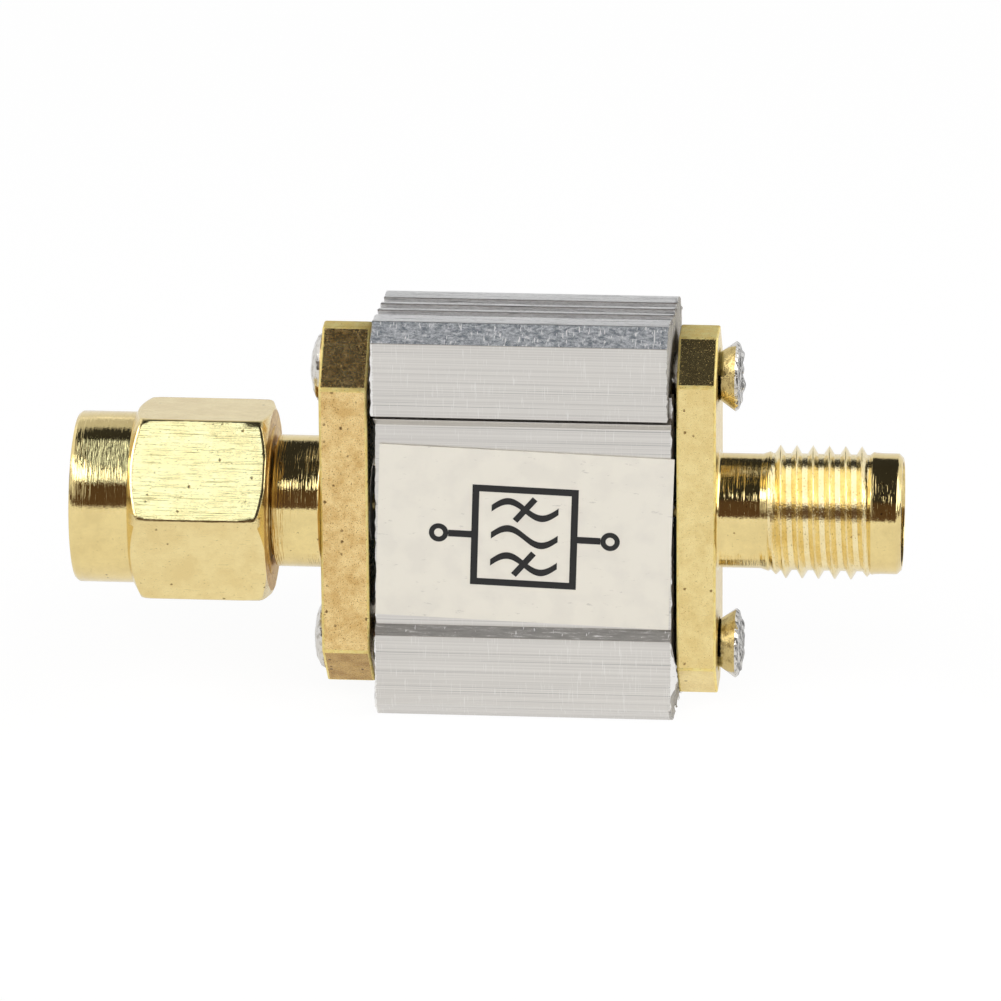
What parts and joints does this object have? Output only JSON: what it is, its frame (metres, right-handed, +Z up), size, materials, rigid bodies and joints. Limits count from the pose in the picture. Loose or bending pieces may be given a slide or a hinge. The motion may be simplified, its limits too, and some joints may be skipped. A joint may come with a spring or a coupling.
{
  "type": "surface acoustic wave filter",
  "caption": "In-line radio filter in a narrow two-part extruded aluminium case, with a male threaded coaxial connector on one end and a female one on the other.",
  "frame": {"origin": "centre of the overall length and depth, at the case's bottom face", "axes": "+X along the connector axis towards the female connector, -Y towards the labelled face, +Z up"},
  "size_m": [0.036, 0.0092, 0.0181],
  "materials": {
    "extruded_aluminium": "mill finish, die lines along the length",
    "label_paper": "coated, slightly glossy",
    "gold_plated_brass": "turned and gold plated",
    "plated_steel": "nickel plated",
    "ptfe": "matte",
    "silicone_rubber": "matte",
    "solder_mask": "satin",
    "white_ceramic": "matte",
    "ferrite": "matte",
    "chip_ceramic": "matte",
    "tin_solder": "bright"
  },
  "bodies": {
    "filter": {"front_half_shell": "extruded_aluminium", "rear_half_shell": "extruded_aluminium", "label": "label_paper", "male_flange_body": "gold_plated_brass", "female_flange_body": "gold_plated_brass", "nut_snap_ring": "plated_steel", "nut_gasket": "silicone_rubber", "male_insulator": "ptfe", "female_insulator": "ptfe", "male_centre_pin": "gold_plated_brass", "female_centre_contact": "gold_plated_brass", "male_flange_screw_top": "plated_steel", "male_flange_screw_bottom": "plated_steel", "female_flange_screw_top": "plated_steel", "female_flange_screw_bottom": "plated_steel", "circuit_board": "solder_mask", "saw_filter_package": "white_ceramic", "saw_filter_lid": "gold_plated_brass", "input_inductor": "ferrite", "output_inductor": "ferrite", "input_capacitor": "chip_ceramic", "output_capacitor": "chip_ceramic", "male_pin_solder": "tin_solder", "female_pin_solder": "tin_solder", "male_ground_solder_upper": "tin_solder", "male_ground_solder_lower": "tin_solder", "female_ground_solder_upper": "tin_solder", "female_ground_solder_lower": "tin_solder"},
    "nut": {"coupling_nut": "gold_plated_brass"}
  },
  "joints": [
    {"name": "nut_spin", "type": "hinge", "parent": "filter", "child": "nut", "pos_m": [-0.0136, 0, 0.00905], "axis": [1, 0, 0], "continuous": true}
  ]
}
